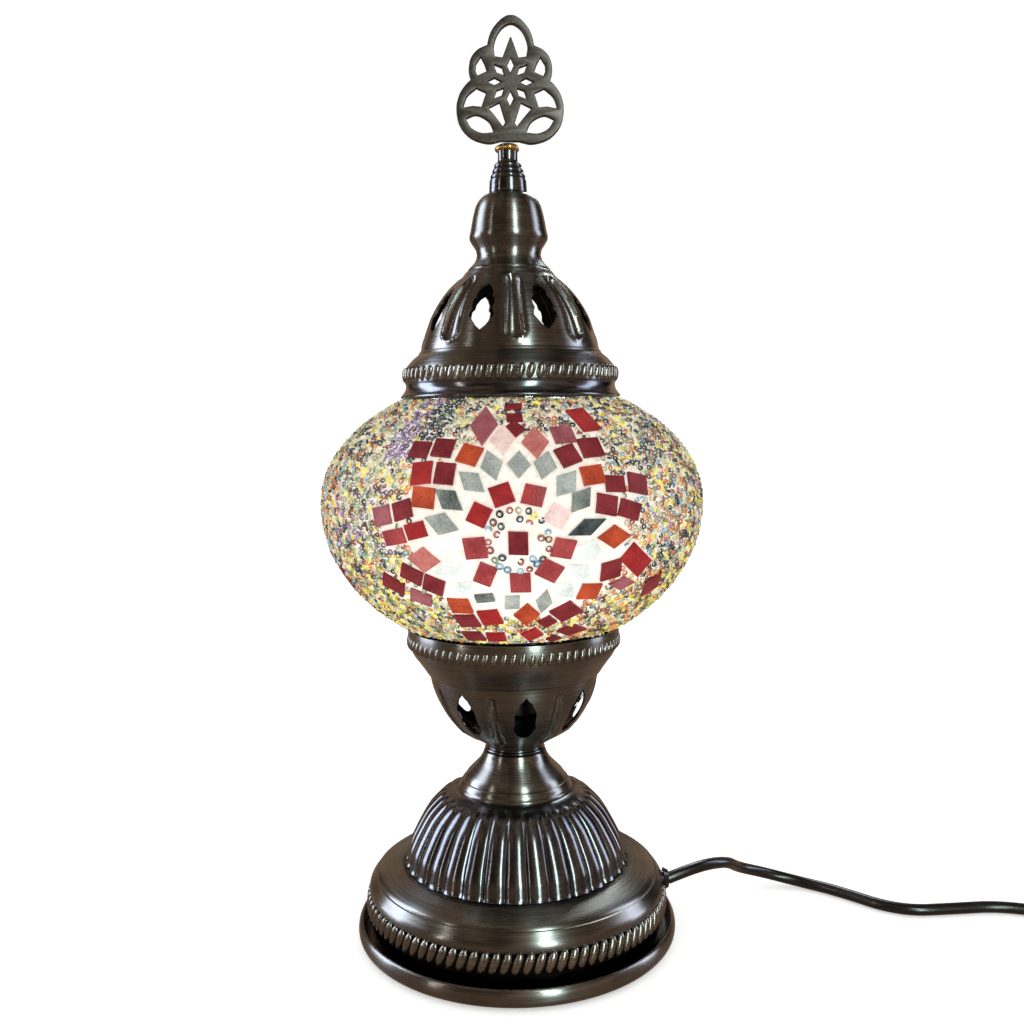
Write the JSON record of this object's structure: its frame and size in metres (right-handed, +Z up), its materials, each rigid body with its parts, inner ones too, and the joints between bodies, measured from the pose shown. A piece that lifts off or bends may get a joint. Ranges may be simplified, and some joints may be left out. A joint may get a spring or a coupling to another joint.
{
  "type": "mosaic glass table lamp",
  "caption": "Table lamp with a spun metal base, a mosaic-faced glass globe that lifts off, a pierced cap, a cast finial and a mains lead with in-line switch.",
  "frame": {"origin": "centre of the lamp's underside, on the axis of the base", "axes": "+Z up the lamp's axis, +X towards the side where the lead leaves the base, -Y towards the front of the finial's flat face"},
  "size_m": [0.4422, 0.1572, 0.3739],
  "materials": {
    "antique_bronze": "antique bronze plated spun sheet, brushed round the axis",
    "zinc_steel": "zinc plated steel",
    "brass": "plain brass",
    "nickel_plate": "nickel plated brass",
    "black_plastic": "moulded black thermoplastic",
    "ceramic": "steatite ceramic, stood in for by matte plastic",
    "black_pvc": "soft glossy black PVC",
    "black_felt": "black felt",
    "clear_glass": "blown clear glass",
    "bulb_glass": "opal bulb glass, lit",
    "white_grout": "fine white plaster grout",
    "mosaic_glass": "hand cut glass tiles and seed beads"
  },
  "bodies": {
    "lamp_base": {"base_pad": "black_felt", "base_tray": "antique_bronze", "base_pan": "antique_bronze", "base_bead_band": "antique_bronze", "gadroon_dome": "antique_bronze", "collar_cone": "antique_bronze", "neck_spacer": "antique_bronze", "globe_bowl": "antique_bronze", "bowl_bead_band": "antique_bronze", "threaded_tube": "zinc_steel", "tube_washer": "zinc_steel", "tube_nut": "zinc_steel", "holder_locknut": "zinc_steel", "holder_cup": "black_plastic", "holder_ring": "black_plastic", "holder_screw_shell": "brass", "holder_insert": "ceramic", "holder_contact": "brass", "cord_grommet": "black_pvc", "inner_lead": "black_pvc", "cord_lamp_run": "black_pvc", "cord_switch_run": "black_pvc", "cord_plug_run": "black_pvc", "cord_coil": "black_pvc", "coil_tie": "black_plastic", "switch_lower_case": "black_plastic", "switch_upper_case": "black_plastic", "switch_screws": "zinc_steel", "switch_terminals": "brass", "plug_body": "black_plastic", "plug_pins": "nickel_plate"},
    "globe": {"globe_glass": "clear_glass", "mosaic_grout": "white_grout", "mosaic_facing": "mosaic_glass"},
    "cap": {"cap_skirt": "antique_bronze", "cap_bead_band": "antique_bronze", "cap_dome": "antique_bronze", "cap_neck": "antique_bronze", "cap_rod": "zinc_steel", "cap_washer": "zinc_steel", "cap_rod_nut": "zinc_steel"},
    "finial": {"finial_stem": "antique_bronze", "finial_ornament": "antique_bronze", "finial_solder": "brass"},
    "bulb": {"bulb_glass": "bulb_glass", "bulb_screw_cap": "nickel_plate", "bulb_tip": "nickel_plate"},
    "rocker": {"switch_rocker": "black_plastic"}
  },
  "joints": [
    {"name": "globe_lift", "type": "slide", "parent": "lamp_base", "child": "globe", "axis": [0, 0, 1], "range_m": [0, 0.1]},
    {"name": "cap_lift", "type": "slide", "parent": "globe", "child": "cap", "axis": [0, 0, 1], "range_m": [0, 0.06]},
    {"name": "finial_turn", "type": "hinge", "parent": "cap", "child": "finial", "pos_m": [0, 0, 0.30416], "axis": [0, 0, 1], "continuous": true},
    {"name": "bulb_turn", "type": "hinge", "parent": "lamp_base", "child": "bulb", "pos_m": [0, 0, 0.13], "axis": [0, 0, 1], "continuous": true},
    {"name": "rocker_tilt", "type": "hinge", "parent": "lamp_base", "child": "rocker", "pos_m": [0.269, -0.003, 0.014], "axis": [0, 1, 0], "range_deg": [-7, 7]}
  ]
}
